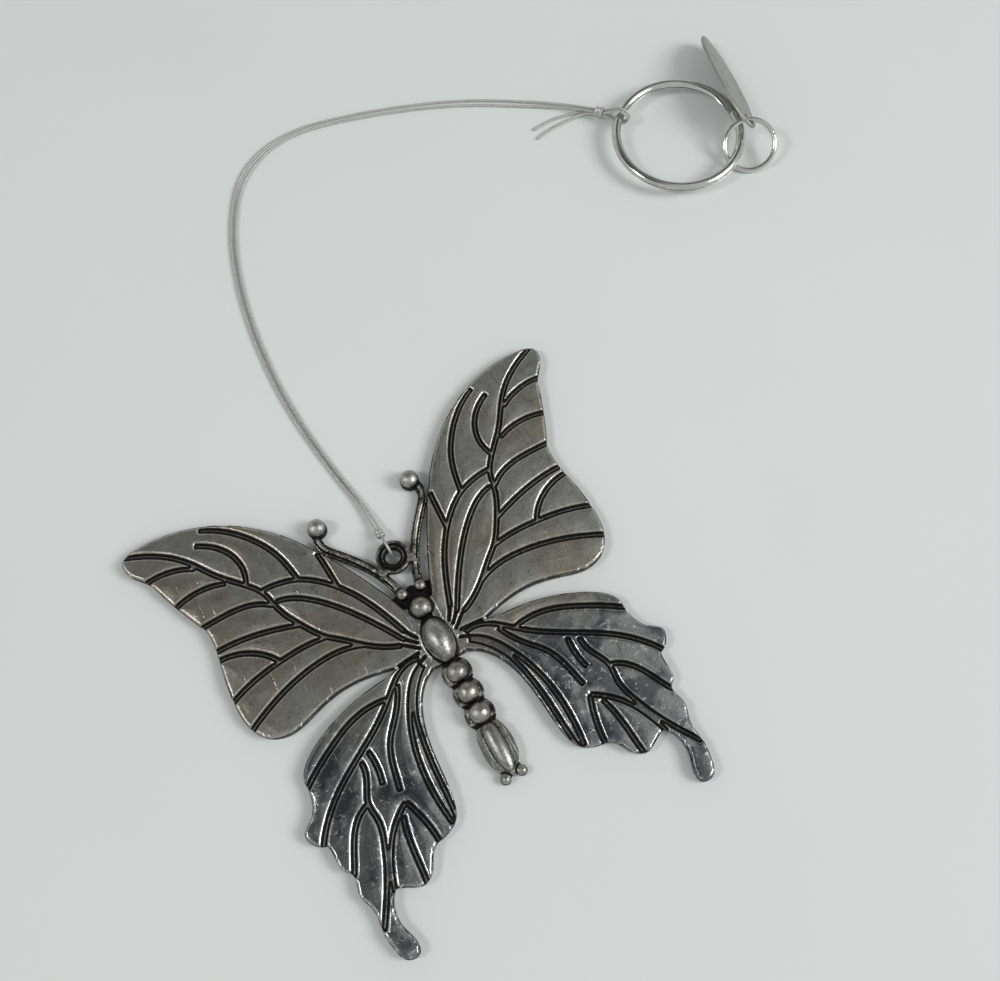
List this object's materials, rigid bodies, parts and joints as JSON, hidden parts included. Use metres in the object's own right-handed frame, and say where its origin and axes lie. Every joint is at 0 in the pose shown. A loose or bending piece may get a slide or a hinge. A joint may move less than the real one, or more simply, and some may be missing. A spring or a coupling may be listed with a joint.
{
  "type": "butterfly ornament",
  "caption": "Flat-backed cast butterfly ornament with veined wings, hung by a fine thread from a split ring with a jump ring and an oval tag.",
  "frame": {"origin": "on the flat back of the casting, under the middle of the thorax", "axes": "+X to the butterfly's right wing as seen from the front, +Y to its head, +Z out of the decorated face"},
  "size_m": [0.1335, 0.1322, 0.007],
  "materials": {
    "antique_silver": "antiqued and burnished",
    "thread": "twisted metallic thread",
    "bright_steel": "polished",
    "dull_steel": "tumbled"
  },
  "bodies": {
    "butterfly": {"butterfly_casting": "antique_silver"},
    "cord": {"eye_loop": "thread", "eye_knot": "thread", "cord_strand_left": "thread", "cord_strand_right": "thread", "ring_knot": "thread", "ring_loop_left": "thread", "ring_loop_right": "thread", "cord_tail_left": "thread", "cord_tail_right": "thread"},
    "ring": {"split_ring": "bright_steel"},
    "link": {"jump_ring": "bright_steel"},
    "tag": {"tag": "dull_steel"}
  },
  "joints": [
    {"name": "cord_swing", "type": "hinge", "parent": "butterfly", "child": "cord", "pos_m": [0, 0.01713, 0.0016], "axis": [1, 0, 0], "range_deg": [-90, 90]},
    {"name": "ring_swing", "type": "hinge", "parent": "cord", "child": "ring", "pos_m": [0.07292, 0.06699, 0.00245], "axis": [0.7848, 0.6198, 0], "range_deg": [-90, 90]},
    {"name": "link_swing", "type": "hinge", "parent": "ring", "child": "link", "pos_m": [0.08784, 0.05122, 0.00245], "axis": [-0.6626, -0.749, 0], "range_deg": [-15, 20]},
    {"name": "tag_swing", "type": "hinge", "parent": "link", "child": "tag", "pos_m": [0.09053, 0.05362, 0.00472], "axis": [0.8781, -0.4582, 0.1378], "range_deg": [0, 90]}
  ]
}
